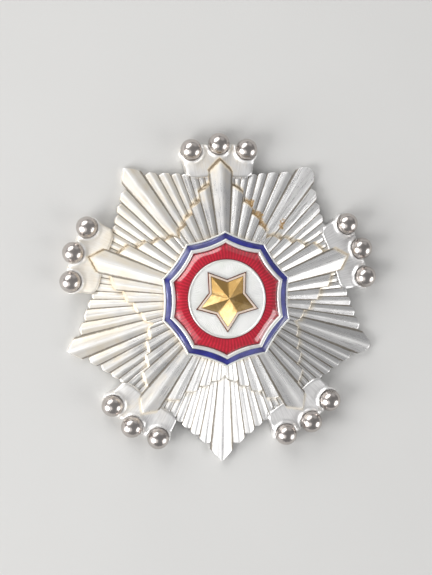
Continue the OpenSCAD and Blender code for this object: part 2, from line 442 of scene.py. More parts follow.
def column_loop(column, apex, limit_z, radii, fixed_r, edge, wall, under):
    """One column's closed loop of points, and its darkening: tarnish and painted shade."""
    turn, rise, end, s, seed = column
    fall = rise - DOME_FALL
    edge_w, edge_h = edge
    last = end - edge_w
    ridge = 1 - abs(s)
    points, dirt = [], []

    def surface(r):
        x, y = polar(turn, r)
        wave = WAVE * ripple(x, y, WAVE_SIZE, seed) + FINE_WAVE * ripple(x, y, FINE_WAVE_SIZE, seed + 5)
        return min(apex + fall * r, limit_z) + wave * min(1, 2 * ridge + 0.2)

    def add(r, z, mark, shift=0.0):
        points.append((*polar(turn + shift, r), z))
        dirt.append(mark)

    # darker near the furrows: tarnish and painted shade in the creases
    furrow = min(max(abs(s) - FURROW_FROM, 0) / FURROW_FADE, 1)
    for r in radii:
        if r > fixed_r:
            r = fixed_r + (r - fixed_r) * (last - fixed_r) / (radii[-1] - fixed_r)
        wobble = RIDGE_WOBBLE * ripple(r, 0, WOBBLE_SIZE, seed) if abs(s) < 0.2 else 0
        add(r, surface(r), furrow, wobble)
    top = surface(last)
    for step in EDGE_STEPS:
        a = radians(step)
        add(last + edge_w * sin(a), top - edge_h * (1 - cos(a)), max(furrow, EDGE_TARNISH_AND_SHADE))
    wall(column, top - edge_h, add)
    under(column, add)
    return points, dirt


def skin(name, columns, dirt_at, **shape):
    """A star's closed skin. The dirt, the darkening round the medallion and the stains stay on its front.
    """
    points, furrows, ridge_highlight_marks = [], [], []
    for column in columns:
        loop, dirt = column_loop(column, **shape)
        points += loop
        furrows += dirt
        # painted highlight along each flute's ridge
        ridge_highlight_marks += [1 - smooth(*RIDGE_HIGHLIGHT_SPAN, abs(column.across))] * len(loop)
    tops = [z > read_line(HOLLOW, hypot(x, y)) + BACK_SKIN for x, y, z in points]
    grime_and_darkening = [min(1, dirt_at(x, y)) if top else 0 for top, (x, y, z) in zip(tops, points)]
    stains = [stain(x, y) if top else 0 for top, (x, y, z) in zip(tops, points)]
    faces = grid_faces(len(columns), len(points) // len(columns))
    marks = {"grime_and_darkening": grime_and_darkening, "furrow": furrows, "stain": stains, "ridge": ridge_highlight_marks}
    return make_piece(name, points, faces, marks)


def steps(start, end, count):
    """Even steps from start to end."""
    return [start + (end - start) * i / count for i in range(count + 1)]


# In these four, the number after each point darkens it: painted shade on the walls and on the fans' hollow
# back.
def fan_wall(column, top, add):
    """Straight down to the hollow back."""
    low = read_line(HOLLOW, column.end)
    for share in (0.5, 1):
        add(column.end, top + (low - top) * share, 0.45)


def fan_under(column, add):
    """Back along the hollow underside to the bore."""
    for r in FAN_UNDER:
        r = min(r, column.end - INSET)
        add(r, read_line(HOLLOW, r), 0.3)


def arm_wall(column, top, add):
    """A sloping wall that runs a little way into the plate below."""
    foot_r = column.end + WALL_SLOPE
    foot_z = FAN_APEX - DOME_FALL * foot_r - SUNK
    for share in (0.4, 0.75, 1):
        add(column.end + WALL_SLOPE * share, top + (foot_z - top) * share, 0.3)


def arm_under(column, add):
    """Back to the bore inside the plate."""
    for r in ARM_UNDER:
        r = min(r, column.end - INSET)
        add(r, min(FAN_APEX - DOME_FALL * r - SUNK, SEAT_Z - 1), 0)


fan_skin = skin(
    "ray_fans", fan_columns, seam_dirt,
    apex=FAN_APEX, limit_z=SEAT_Z - 0.6, fixed_r=20.0, edge=(0.22, 0.2),
    radii=[BORE_R, 6, 11] + steps(12.5, 20, 10) + steps(20, 30, 15)[1:],
    wall=fan_wall, under=fan_under)
arm_skin = skin(
    "raised_star", arm_columns, lambda x, y: max(medallion_ring_darkening(x, y), ledge_dirt(x, y)),
    apex=ARM_APEX, limit_z=SEAT_Z, fixed_r=13.2, edge=(0.14, 0.12),
    radii=[BORE_R, 6, 8.7, 11, 12.4] + steps(13.2, 26, 17),
    wall=arm_wall, under=arm_under)

# %% [markdown]
# ## Plaques
# A plaque is the flat shield at an arm's tip. The real one is cast with soft
# edges, its sides flare out to the balls, and solder stands round each ball's
# foot as a lip, which gets a painted highlight. So it is one soft slab of
# triangles, and the height of each point follows from how near it is to the
# outline and to the balls.

# %% Sizes of the plaques and balls
BALL_R = 2.07
BALL_PLACES = [
    # turn from the arm's ray, radius
    (-10.8, 28.6), (0, 29.2), (10.8, 28.6),
]
PLAQUE_IN = 23.6
PLAQUE_TOP = 2.65
PLAQUE_TILT = tan(radians(13))
PLAQUE_EDGE = 0.65
PLAQUE_DROP = 0.45
PLAQUE_INSETS = (0.06, 0.16, 0.32, 0.5, PLAQUE_EDGE)
NET_STEP, NET_COLUMNS, NET_ROWS = 0.34, 45, 18
NET_LEFT, NET_LOW, NET_ROOM = -7.5, 23.2, 0.2
RIM_STEP, LIP_TURN = 0.22, 5
LIP_UNEVEN, SWELL = 0.35, 0.12
PLAQUE_SIDE = [
    # x, y from the middle of the rim, round the right side, to the middle of the inner edge
    (0.0, 28.75), (0.9, 28.8), (1.9, 28.95), (2.75, 29.2), (3.5, 28.95), (4.3, 28.55), (5.4, 28.4),
    (6.6, 28.4), (7.25, 28.0), (7.5, 27.45), (7.42, 26.95), (7.12, 26.3), (6.85, 25.6), (6.62, 24.9),
    (6.5, 24.2), (6.38, 23.6), (6.0, 23.15), (5.0, 22.75), (3.4, 22.75), (1.7, 22.9), (0.0, 22.9),
]
LIP = [
    # distance from a ball's middle, height over the plaque
    (1.8, -0.45), (1.97, -0.15), (2.03, 0.28), (2.13, 0.46), (2.26, 0.48), (2.42, 0.38), (2.58, 0.2),
    (2.78, 0.06), (3.05, 0.0),
]


# %% Curves and distances
def plaque_z(y):
    """Height of the plaque's sloping top."""
    return PLAQUE_TOP - (y - PLAQUE_IN) * PLAQUE_TILT


def on_arm(index):
    """A function that moves the top plaque's points to another arm."""
    longer, turn, out = ARM_ERRORS[index]
    spin = Matrix.Rotation(-radians(index * SECTOR + turn), 3, "Z")
    return lambda point: spin @ (Vector(point) + Vector((0, out, 0)))


def soft_line(corners, spacing):
    """Points along a smooth curve through the corners."""
    line = []
    for i in range(len(corners) - 1):
        p0, p1, p2, p3 = (Vector(corners[min(max(j, 0), len(corners) - 1)]) for j in range(i - 1, i + 3))
        count = max(1, round((p2 - p1).length / spacing))
        for j in range(count):
            t = j / count
            line.append(0.5 * (2 * p1 + (p2 - p0) * t + (2 * p0 - 5 * p1 + 4 * p2 - p3) * t ** 2
                               + (3 * p1 - p0 - 3 * p2 + p3) * t ** 3))
    return line


def depth_in(p, outline):
    """Distance from a point to a closed outline, negative outside it."""
    best, sign = 99, -1
    for a, b in zip(outline, outline[1:] + outline[:1]):
        side = b - a
        t = min(max((p - a).dot(side) / side.length_squared, 0), 1)
        best = min(best, (p - a - side * t).length)
        if (a.y > p.y) != (b.y > p.y) and p.x < a.x + (p.y - a.y) * side.x / side.y:
            sign = -sign
    return sign * best


def to_ball(p):
    """Distance from a point to the nearest ball's middle."""
    return min((p - spot).length for spot in BALL_SPOTS)


BALL_SPOTS = [Vector(polar(turn, r)) for turn, r in BALL_PLACES]


# %% A plaque's net and its slab
def plaque_net():
    """Points and triangles of the top arm's plaque from above, the outline first."""
    side = soft_line(PLAQUE_SIDE, RIM_STEP)
    outline = side + [Vector((0, PLAQUE_SIDE[-1][1]))] + [Vector((-p.x, p.y)) for p in reversed(side[1:])]
    count = len(outline)
    inside = []
    for i, p in enumerate(outline):
        along = (outline[(i + 1) % count] - outline[i - 1]).normalized()
        for inset in PLAQUE_INSETS:
            inside.append((p + inset * Vector((along.y, -along.x)), inset))
    turns = range(0, 360, LIP_TURN)
    for spot in BALL_SPOTS:
        for r, height in LIP[1:]:
            inside += [(spot + Vector(polar(turn, r)), PLAQUE_INSETS[0]) for turn in turns]
    for i in range(NET_COLUMNS):
        for j in range(NET_ROWS):
            shift = NET_STEP / 2 * (j % 2)
            spot = Vector((NET_LEFT + NET_STEP * i + shift, NET_LOW + NET_STEP * j))
            inside.append((spot, NET_ROOM))
    kept = []
    for p, room in inside:
        if room == NET_ROOM and to_ball(p) < LIP[-1][0] + 0.1:
            continue
        if depth_in(p, outline) > room * 0.98 - 0.01:
            kept.append(p)
    result = geometry.delaunay_2d_cdt(outline + kept, [], [list(range(count))], 1, 0.02)
    return [Vector(p) for p in result[0]], [tuple(t) for t in result[2]], count


def plaque(index):
    """One plaque as a closed slab."""
    place = on_arm(index)
    top, bottom = [], []
    for p, depth, near in zip(net, net_depths, net_nears):
        edge = max(1 - depth / PLAQUE_EDGE, 0)
        drop = PLAQUE_DROP * (1 - sqrt(1 - edge * edge))
        lip = read_line(LIP, near + 0.05 * ripple(p.x, p.y, 0.9, 40 + index))
        if lip > 0:
            lip *= 1 + LIP_UNEVEN * ripple(p.x, p.y, 1.2, 3 + 5 * index)
        swell = 0.06 * ripple(p.x, p.y, 1.6, 11 + index) + SWELL * smooth(0.3, 2.2, depth)
        top.append(place((*p, plaque_z(p.y) + lip + swell - drop)))
        low = max(read_line(HOLLOW, p.length + 0.25), 0.03)
        bottom.append(place((*p, low)))
    shift = len(net)
    faces = list(net_faces)
    faces += [(a + shift, c + shift, b + shift) for a, b, c in net_faces]
    faces += [(b, a, a + shift, b + shift) for a, b in rim_edges]
    return top + bottom, faces


def border(faces):
    """The sides that only one face has, in the order of that face."""
    sides = [side for face in faces for side in zip(face, face[1:] + face[:1])]
    both = set(sides)
    return [(a, b) for a, b in sides if (b, a) not in both]


def join(parts):
    """Several lists of points and faces as one."""
    points, faces = [], []
    for part_points, part_faces in parts:
        faces += [tuple(len(points) + i for i in face) for face in part_faces]
        points += part_points
    return points, faces


# %% All five plaques
net, net_faces, rim_count = plaque_net()
rim_edges = border(net_faces)
net_depths = [abs(depth_in(p, net[:rim_count])) for p in net]
net_nears = [to_ball(p) for p in net]
points, faces = join(plaque(k) for k in range(ARMS))
grime_and_darkening = []
for x, y, z in points:
    on_top = z > read_line(HOLLOW, hypot(x, y)) + 0.5
    grime_and_darkening.append(side_dirt(x, y) * (1 - smooth(0.3, 1.0, past_edge(x, y))) if on_top else 0)
# painted highlight on the solder lips round the balls
lip_highlight_marks = [smooth(2.0, 2.1, near) * (1 - smooth(2.35, 2.7, near)) for near in net_nears]
satin = [smooth(0.15, 0.6, depth) * smooth(2.3, 2.9, near) for depth, near in zip(net_depths, net_nears)]
marks = {"grime_and_darkening": grime_and_darkening, "satin": satin * (2 * ARMS), "ridge": lip_highlight_marks * (2 * ARMS)}
plaques = make_piece("plaques", points, faces, marks)

# %% [markdown]
# ## Balls
# Fifteen balls are soldered to the plaques and rest on the ground. Each real
# one is a little out of round, so a ball is rings of latitude with a slow
# ripple. They are the most polished silver of the star, tinted grey-brown as a
# painted dark reflection.

# %% Balls
BALL_RIPPLE = 0.02


def ball(centre, seed, rows=22, around=40):
    """Points and faces of one ball."""
    rings = []
    for i in range(1, rows):
        up = pi * i / rows
        ring = []
        for j in range(around):
            a = 2 * pi * j / around
            n = Vector((sin(up) * cos(a), sin(up) * sin(a), cos(up)))
            wave = noise.noise(n * 1.3 + Vector((seed, 0, 0)))
            ring.append(centre + n * (BALL_R - BALL_RIPPLE + BALL_RIPPLE * wave))
        rings.append(ring)
    pole = Vector((0, 0, BALL_R - BALL_RIPPLE))
    return capped_grid(rings, centre + pole, centre - pole)


centres = [on_arm(k)((*spot, BALL_R)) for k in range(ARMS) for spot in BALL_SPOTS]
points, faces = join(ball(centre, i) for i, centre in enumerate(centres))
balls = make_piece("balls", points, faces, {"polish": [1] * len(points)})

# %% [markdown]
# ## The medallion's tray
# The tray is one casting: a ten-sided dish with hollow sides, two thin silver
# walls that keep the enamels apart, a ribbed disc and the post behind. One grid
# of rings makes all of it, from the post's end round to the middle of the disc.
# The ribs are a wave round the disc, as an engine-turned ground is cut.

# %% Sizes of the medallion
PER_SIDE = 48
SIDE_BOW = 0.38
DISC_R = 7.4
RING_W = 0.35
RIM_W = 0.35
LINE_OUT = MEDALLION_R - 1.4
LINE_IN = MEDALLION_R - 2.2
TRAY_Z = 6.05
RIM_TOP = 7.2
LINE_TOP = 7.5
RING_TOP = 7.95
DISC_TOP = 7.8
ENAMEL_DEPTH = 0.6
POST = [(0.4, 1.3), (0.6, 1.5), (3.05, 1.5), (3.05, 1.7), (TRAY_Z, 1.7)]
RIBS = 120
RIB_HEIGHT = 0.025
DISC_LEVEL = DISC_TOP - 0.02
DISC_RADII = (DISC_R - RING_W, 6.9, 6.6, 6.0, 5.2, 4.3, 3.3, 2.2, 1.1)
FLAT_DROP, LINE_DROP = 0.14, 0.26


def ten_sides(r, count=PER_SIDE, bow=SIDE_BOW, waist=1.0):
    """Ten sides bowed inwards, with corners at radius r and at r times the waist in turn."""
    corners = [Vector(polar(36 * k, r * (1 if k % 2 else waist))) for k in range(10)]
    ring = []
    for p, q in zip(corners, corners[1:] + corners[:1]):
        out = ((p + q) / 2).normalized()
        for i in range(count):
            t = i / count
            ring.append(p.lerp(q, t) - 4 * bow * t * (1 - t) * out)
    return ring


RIM_RING = ten_sides(MEDALLION_R)


def level(ring, z):
    """A flat ring as points at one height."""
    return [(p[0], p[1], z) for p in ring]


def circle(r):
    """Points of a circle at the same angles as the ten-sided rings."""
    return [p.normalized() * r for p in RIM_RING]


ARCH = [
    # share of the way across a wall's top, share of its drop
    (0, 1), (0.05, 0.6), (0.14, 0.26), (0.3, 0.05), (0.5, 0), (0.7, 0.05), (0.86, 0.26), (0.95, 0.6),
    (1, 1),
]


def wall_top(outer, inner, base, top, drop):
    """Rings over a thin wall with a round top, from outside in."""
    rings = [level(outer, base)]
    for share, fall in ARCH:
        rings.append([(*a.lerp(b, share), top - drop * fall) for a, b in zip(outer, inner)])
    rings.append(level(inner, base))
    return rings


def disc_rings():
    """Rings of the ribbed disc, from its wall to its middle."""
    rings = []
    for r in DISC_RADII:
        height = RIB_HEIGHT * smooth(0.5, 3.5, r) * (1 - smooth(6.75, 6.95, r))
        rings.append([(*p, DISC_LEVEL + height * cos(RIBS * atan2(*p))) for p in circle(r)])
    return rings


# %% Tray
def tray_rings():
    """Rings from the post's end over the rim and both walls to the disc's middle."""
    inner_rim, line_in = ten_sides(MEDALLION_R - RIM_W), ten_sides(LINE_IN)
    blue_floor, red_floor = RIM_TOP - ENAMEL_DEPTH, LINE_TOP - ENAMEL_DEPTH
    rings = [level(circle(r), z) for z, r in POST]
    rings.append(level(ten_sides(MEDALLION_R - 0.15), TRAY_Z))
    rings.append(level(RIM_RING, TRAY_Z + 0.12))
    rings += wall_top(RIM_RING, inner_rim, RIM_TOP, RIM_TOP, FLAT_DROP)[1:-1]
    rings.append(level(inner_rim, blue_floor))
    rings += wall_top(ten_sides(LINE_OUT), line_in, blue_floor, LINE_TOP, LINE_DROP)[:-1]
    rings.append(level(line_in, red_floor))
    rings += wall_top(circle(DISC_R), circle(DISC_R - RING_W), red_floor, RING_TOP, FLAT_DROP)[:-1]
    return rings + disc_rings()


points, faces = capped_grid(tray_rings(), (0, 0, POST[0][0]), (0, 0, DISC_LEVEL))
grime_and_darkening, satin = [], []
for x, y, z in points:
    r = hypot(x, y)
    # darker towards the foot of the tray's outer wall
    grime_and_darkening.append(1 - smooth(TRAY_Z + 0.3, RIM_TOP - 0.1, z) if r > MEDALLION_R - 1.2 else 0)
    satin.append(1 if r < DISC_R - RING_W + 0.01 else 0)
tray = make_piece("medallion_tray", points, faces, {"grime_and_darkening": grime_and_darkening, "satin": satin}, crease=50)


# %% [markdown]
# ## Enamels
# Vitreous enamel is glass melted into the channels. Its surface domes between
# the silver walls and dips where it meets them, which bends the lamps'
# reflections into bands. Each enamel is a closed ring that fills its channel,
# with its own curve across.

# %% Enamel rings
INLAY_DIP = 0.05
INLAY_WAVE = 0.012
INLAY_SHARES = (1, 0.985, 0.96, 0.91, 0.88, 0.8, 0.7, 0.6, 0.5, 0.4, 0.28, 0.16, 0.09, 0.04, 0.015, 0)


def inlay(name, outer, inner, floor, profile, mid_outer, mid_inner, sway):
    """A closed ring between two outlines, with a smooth dome on top."""
    rings = [level(inner, floor), level(outer, floor)]
    for share in INLAY_SHARES:
        ring = []
        for a, b in zip(outer, inner):
            p = b.lerp(a, share)
            wide = mid_outer + sway * cos(10 * atan2(*p))
            across = (p.length - mid_inner) / (wide - mid_inner)
            dip = INLAY_DIP * (smooth(0.06, 0, share) + smooth(0.94, 1, share))
            wave = INLAY_WAVE * ripple(p.x, p.y, 2.5, 21)
            ring.append((*p, read_line(profile, across) - dip + wave))
        rings.append(ring)
    points = [p for ring in rings for p in ring]
    faces = grid_faces(len(rings), len(outer))
    shares = [0, 1] + list(INLAY_SHARES)
    # painted shade along both edges of each enamel
    edge_shade = [max(smooth(0.09, 0.03, share), smooth(0.91, 0.96, share)) for share in shares for p in outer]
    chips = [chip(x, y) for x, y, z in points]
    # painted pale sheen, which the blue uses
    wear_and_sheen = [side_sheen(x, y) for x, y, z in points]
    return make_piece(name, points, faces, {"chip": chips, "edge": edge_shade, "wear_and_sheen": wear_and_sheen}, crease=60)


CHIPPED_SIDE = 126
# painted pale sheen on the blue, one number for each side, clockwise from the top corner
BLUE_SHEEN = (0.0, 0.1, 0.5, 0.55, 0.45, 0.0, 0.25, 0.6, 1.0, 0.6)


def side_sheen(x, y):
    """How much painted pale sheen each side of the blue enamel gets."""
    place = degrees(atan2(x, y)) % 360 / 36
    side = int(place) % 10
    return BLUE_SHEEN[side] * smooth(0, 0.12, place % 1) * (1 - smooth(0.88, 1, place % 1))


def chip(x, y):
    """Where the red enamel has broken away along one side's edge."""
    turn, r = degrees(atan2(x, y)), hypot(x, y)
    out = r * cos(radians(turn - CHIPPED_SIDE))
    return smooth(112, 116, turn) * (1 - smooth(138, 143, turn)) * smooth(9.0, 9.25, out)


GAP = 0.02
blue_profile = [
    # share of the way out, height
    (0, 7.38), (0.15, 7.41), (0.3, 7.38), (0.42, 7.32), (0.55, 7.25), (0.7, 7.165), (0.85, 7.08),
    (0.97, 7.02), (1.1, 6.97),
]
red_profile = [
    # share of the way out, height
    (0, 7.72), (0.2, 7.76), (0.4, 7.75), (0.52, 7.69), (0.62, 7.58), (0.72, 7.44), (0.82, 7.285),
    (0.92, 7.13), (1.0, 7.02), (1.1, 6.98), (1.2, 6.97),
]
blue_inlay = inlay(
    "blue_inlay", ten_sides(MEDALLION_R - RIM_W - GAP), ten_sides(LINE_OUT + GAP),
    RIM_TOP - ENAMEL_DEPTH + GAP, blue_profile, mid_outer=11.95, mid_inner=11.0, sway=0.4)
red_inlay = inlay(
    "red_inlay", ten_sides(LINE_IN - GAP), circle(DISC_R + GAP),
    LINE_TOP - ENAMEL_DEPTH + GAP, red_profile, mid_outer=10.0, mid_inner=DISC_R, sway=0.2)

# %% [markdown]
# ## The gilt star
# The star is struck from thin metal and gilt: a sloping edge, a polished rim, a
# small groove and ten facets that meet in a point. The edge and the groove are
# painted dark as shade. Each ring is the same star at another size, so the
# edges can be rounded evenly.

# %% Gilt star
STAR_WAIST = 0.59
STAR_FLOOR = 7.85
STAR_TIP = STAR_FLOOR + 2.05
FACET_R, FACET_FOOT = 5.1, 0.39
FACET_WAVE = 0.02
PER_EDGE = 8


def star_ring(r, z):
    """A five-pointed star that points down, its points at radius r."""
    return level(ten_sides(r, PER_EDGE, 0, STAR_WAIST), z)


RIM_MARK, SHADE_MARK = 2, 1
star_sizes = [
    # radius, height, mark: painted shade on the edge and the groove, or the pale rim
    (6.3, 0, SHADE_MARK), (6.3, 0.1, SHADE_MARK), (6.22, 0.16, SHADE_MARK), (5.98, 0.36, SHADE_MARK),
    (5.93, 0.4, RIM_MARK), (5.85, 0.42, RIM_MARK), (5.4, 0.42, RIM_MARK), (5.34, 0.4, RIM_MARK),
    (5.3, 0.36, SHADE_MARK), (5.24, 0.34, SHADE_MARK), (5.2, 0.37, 0), (5.1, 0.4, 0),
]
rings = [star_ring(r, STAR_FLOOR + z) for r, z, mark in star_sizes]
for share in (0.9, 0.7, 0.45, 0.2, 0.04):
    ring = []
    for x, y, z in star_ring(FACET_R * share, 0):
        fall = (STAR_TIP - STAR_FLOOR - FACET_FOOT) * share
        ring.append((x, y, STAR_TIP - fall + FACET_WAVE * ripple(x, y, 1.1, 31) * share))
    rings.append(ring)
points, faces = capped_grid(rings, (0, 0, STAR_FLOOR), (0, 0, STAR_TIP - 0.01))
kinds = [mark for r, z, mark in star_sizes] + [0] * (len(rings) - len(star_sizes))
kinds = [kind for kind, ring in zip(kinds, rings) for p in ring] + [0, 0]
edge = [float(kind == SHADE_MARK) for kind in kinds]
rim = [float(kind == RIM_MARK) for kind in kinds]
gilt_star = make_piece("gilt_star", points, faces, {"edge": edge, "rim": rim}, crease=24)

# %% [markdown]
# ## The nut
# The clamp nut behind the plate is turned metal. It is hidden in the
# photograph, so it is a plain ring with its edges broken.

# %% Round nut
nut_lo, nut_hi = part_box("back_nut")
NUT_R = nut_hi.x / MM
NUT_LOW, NUT_HIGH = nut_lo.z / MM, nut_hi.z / MM
NUT_STEPS = 128
nut_profile = [
    # radius, height, from the upper inner edge out and down
    (BORE_R, NUT_HIGH), (NUT_R - 0.15, NUT_HIGH), (NUT_R, NUT_HIGH - 0.15), (NUT_R, NUT_LOW + 0.25),
    (NUT_R - 0.07, NUT_LOW + 0.07), (NUT_R - 0.25, NUT_LOW), (BORE_R + 0.2, NUT_LOW),
    (BORE_R, NUT_LOW + 0.2),
]
points = [(*polar(360 * i / NUT_STEPS, r), z) for i in range(NUT_STEPS) for r, z in nut_profile]
nut = make_piece("round_nut", points, grid_faces(NUT_STEPS, len(nut_profile)), crease=30)

# %% [markdown]
# ## Shader maths
# A finish is a small sum: how much tarnish, how rough, how bright. Value is one
# output socket whose operators add Math nodes, so that such sums read as plain
# arithmetic. Finish makes any other node.

# %% Shader maths as expressions
def operator(operation):
    """A method that joins two values with one Math node."""
    return lambda self, other: self.maths(operation, self, other)


class Value:
    """One output socket of a node."""

    __add__ = __radd__ = operator("ADD")
    __sub__ = operator("SUBTRACT")
    __mul__ = __rmul__ = operator("MULTIPLY")
    __truediv__ = operator("DIVIDE")
    __pow__ = operator("POWER")

    def __init__(self, finish, socket):
        self.finish = finish
        self.socket = socket

    def maths(self, operation, *values):
        return self.finish.node("Math", {"operation": operation}, dict(enumerate(values)))

    def __rsub__(self, other):
        return self.maths("SUBTRACT", other, self)

    def sine(self):
        return self.maths("SINE", self)

    def between(self, lo, hi):
        """The same curve as smooth gives."""
        sockets = {"Value": self, "From Min": lo, "From Max": hi}
        return self.finish.node("MapRange", {"interpolation_type": "SMOOTHSTEP"}, sockets)


class Finish:
    """One material, and the methods that add nodes to it."""

    def __init__(self, name):
        self.material = bpy.data.materials.new(name)
        self.material.use_nodes = True
        self.tree = self.material.node_tree
        self.tree.nodes.clear()

    def node(self, kind, settings=None, sockets=None, output=0):
        made_node = self.tree.nodes.new("ShaderNode" + kind)
        for name, value in (settings or {}).items():
            setattr(made_node, name, value)
        for name, value in (sockets or {}).items():
            if isinstance(value, Value):
                self.tree.links.new(value.socket, made_node.inputs[name])
            else:
                made_node.inputs[name].default_value = value
        return Value(self, made_node.outputs[output])

    def place(self):
        """The point on the piece, in metres."""
        return self.node("TexCoord", output="Object")

    def axes(self):
        """The point's three coordinates in millimetres."""
        parts = self.node("SeparateXYZ", sockets={0: self.place()}).socket.node
        return [Value(self, parts.outputs[i]) / MM for i in range(3)]

    def streaks(self, fineness, length, detail=3.0):
        """Noise drawn out along the rays, length millimetres long."""
        x, y, z = self.axes()
        radius = (x * x + y * y + 0.01) ** 0.5
        turned = {0: x / radius * fineness, 1: y / radius * fineness, 2: radius / length}
        vector = self.node("CombineXYZ", sockets=turned)
        sockets = {"Vector": vector, "Scale": 1.0, "Detail": detail, "Roughness": 0.55}
        return self.node("TexNoise", sockets=sockets)

    def cloud(self, size, detail=3.0, rough=0.5, warp=0.0):
        """Noise whose features are about size millimetres wide."""
        sockets = {"Vector": self.place(), "Scale": 1 / (size * MM)}
        sockets.update({"Detail": detail, "Roughness": rough, "Distortion": warp})
        return self.node("TexNoise", sockets=sockets)

    def mark(self, name):
        """A number that the mesh carries on its points."""
        return self.node("Attribute", {"attribute_name": name}, output="Fac")

    def mix(self, share, first, second):
        """A colour between two others."""
        return self.node("Mix", {"data_type": "RGBA"}, {0: share, 6: first, 7: second}, output=2)

    def layers(self, colour, *coats):
        """A colour under coats of (share, colour), the last one on top."""
        for share, coat in coats:
            colour = self.mix(share, colour, coat)
        return colour

    def bump(self, height, depth, normal=None):
        """Relief, depth millimetres deep where height runs from 0 to 1."""
        sockets = {"Height": height, "Distance": depth * MM, "Strength": 1.0}
        if normal:
            sockets["Normal"] = normal
        return self.node("Bump", sockets=sockets)

    def surface(self, **sockets):
        """The finished surface. Names have _ for a space."""
        named = {name.replace("_", " "): value for name, value in sockets.items()}
        shader = self.node("BsdfPrincipled", sockets=named)
        output = self.tree.nodes.new("ShaderNodeOutputMaterial")
        self.tree.links.new(shader.socket, output.inputs["Surface"])
        return self.material


# %% [markdown]
# ## Struck silver
# The silver is worn round on its ridges, which carry painted highlights, as do
# the solder lips, and it has a cream film on its left side. Polish has dried to
# a cream paste along the raised star's edge, the furrows are dark with tarnish
# and painted shade, the balls are tinted grey-brown as a painted dark
# reflection, and a few brown stains sit by that edge. The finish lays these over
# the shiny metal, and each makes it rougher or less metallic. Faint drawn lines
# run along the rays. The medallion's silver is whiter, with hardly a line.

# %% Silver finishes
PAINTED_HIGHLIGHT_WHITE = (1, 0.99, 0.97, 1)
BALL_DARK_REFLECTION = (0.52, 0.47, 0.44, 1)
PASTE = (0.90, 0.82, 0.68, 1)
TAN_DIRT, DARK_DIRT = (0.58, 0.45, 0.28, 1), (0.18, 0.13, 0.08, 1)
# colour of the tarnish and painted shade in the furrows
FURROW_DARK = (0.20, 0.17, 0.13, 1)
AMBER, DEEP_AMBER, BURNT = (0.60, 0.38, 0.13, 1), (0.42, 0.22, 0.05, 1), (0.14, 0.08, 0.03, 1)
LINE_SHADE = 0.82


def silver(name, film_amount, film_spread, bright, film_colour, deep_film, drawing):
    """Silver under a film, with the dirt and the wear that the mesh carries."""
    finish = Finish(name)
    x, y, z = finish.axes()
    names = ("grime_and_darkening", "stain", "furrow", "satin", "polish", "ridge")
    grime_and_darkening, brown, furrow, satin, polish, ridge = map(finish.mark, names)
    patches = finish.cloud(5.0, 3, 0.55, 0.4)
    grain = finish.cloud(0.7, 4, 0.65)
    speckle = finish.cloud(0.4, 4, 0.75, 0.5)
    fine = finish.cloud(0.16, 3, 0.7)
    drawn = finish.streaks(90, 5)
    broad = finish.streaks(38, 9, 2.0)

    # how much of each layer
    left = (-0.035 * x + 0.012 * y + film_spread + (patches - 0.5) * 1.2).between(0.1, 1.3)
    film = (left * (0.3 + grain * 0.6 + drawn * 0.6)).between(0.15, 1.0) * film_amount * (1 - 0.8 * polish)
    lines = drawn.between(0.32, 0.68)
    # painted highlights on the ridges and the solder lips
    painted_highlight = ridge * (0.1 + fine * 0.7 + drawn * 0.7).between(0.3, 1.0)
    paste = (grime_and_darkening * (0.5 + grain * 1.0)).between(0.04, 0.4)
    dirt = (grime_and_darkening * (0.45 + grain * 1.1) + (patches - 0.5) * 0.5 * grime_and_darkening).between(0.25, 0.85)
    # tarnish and painted shade in the furrows, on the edges and the walls
    line = (furrow * (0.5 + grain * 1.1)).between(0.3, 0.95)
    burn = (brown * 1.05 + (speckle - 0.5) * 3.6 * brown - 0.25).between(0.2, 0.75)

    # colours, one over the other
    shaded = [LINE_SHADE * part for part in bright[:3]] + [1]
    colour = finish.layers(
        bright,
        (lines * (1 - polish), shaded),
        (film, finish.mix(patches.between(0.4, 0.7), film_colour, deep_film)),
        # painted dark reflection on the balls
        (polish * 0.85, BALL_DARK_REFLECTION),
        (painted_highlight, PAINTED_HIGHLIGHT_WHITE),
        (paste * 0.72, PASTE),
        (dirt * 0.75, TAN_DIRT),
        (dirt.between(0.7, 1.0) * 0.75, DARK_DIRT),
        (line * 0.9, FURROW_DARK),
        (burn * 0.9, finish.mix(grain.between(0.4, 0.6), AMBER, DEEP_AMBER)),
        ((burn * speckle).between(0.5, 0.7) * 0.8, BURNT))

    # gloss and relief
    metal = 0.94 - 0.4 * film + 0.06 * polish - 0.25 * satin - 0.3 * dirt - 0.3 * burn
    metal = metal - 0.3 * paste - 0.4 * painted_highlight - 0.3 * line
    rough = 0.32 + 0.1 * film + 0.22 * satin - 0.08 * polish + 0.2 * dirt + 0.16 * burn
    rough = rough + (lines - 0.5) * 0.14 * (1 - polish) + (fine - 0.5) * 0.06
    relief = finish.bump(drawn, 0.012 * drawing * (1 - polish))
    relief = finish.bump(broad, 0.03 * drawing * (1 - polish), relief)
    relief = finish.bump(grain, 0.006, relief)
    return finish.surface(Base_Color=colour, Metallic=metal, Roughness=rough, Normal=relief)


struck_silver = silver(
    "struck_silver", film_amount=0.7, film_spread=0.42, bright=(0.92, 0.91, 0.90, 1),
    film_colour=(0.94, 0.88, 0.77, 1), deep_film=(0.8742, 0.7656, 0.5852, 1), drawing=1.0)
medallion_silver = silver(
    "medallion_silver", film_amount=1.0, film_spread=1.3, bright=(0.95, 0.95, 0.94, 1),
    film_colour=(0.93, 0.93, 0.91, 1), deep_film=(0.8556, 0.8742, 0.8281, 1), drawing=0.15)
print("silver finishes:", struck_silver.name, medallion_silver.name)


# %% [markdown]
# ## Enamel finishes
# The red is clear glass over cut rays, so they show as light and dark stripes
# under a smooth gloss, its edges are darkened with painted shade, and one chipped
# edge is pale. The blue is opaque, with a painted pale sheen on some sides. Both
# get a clear coat for the reflections of glass, and slow waves keep it from
# looking new.

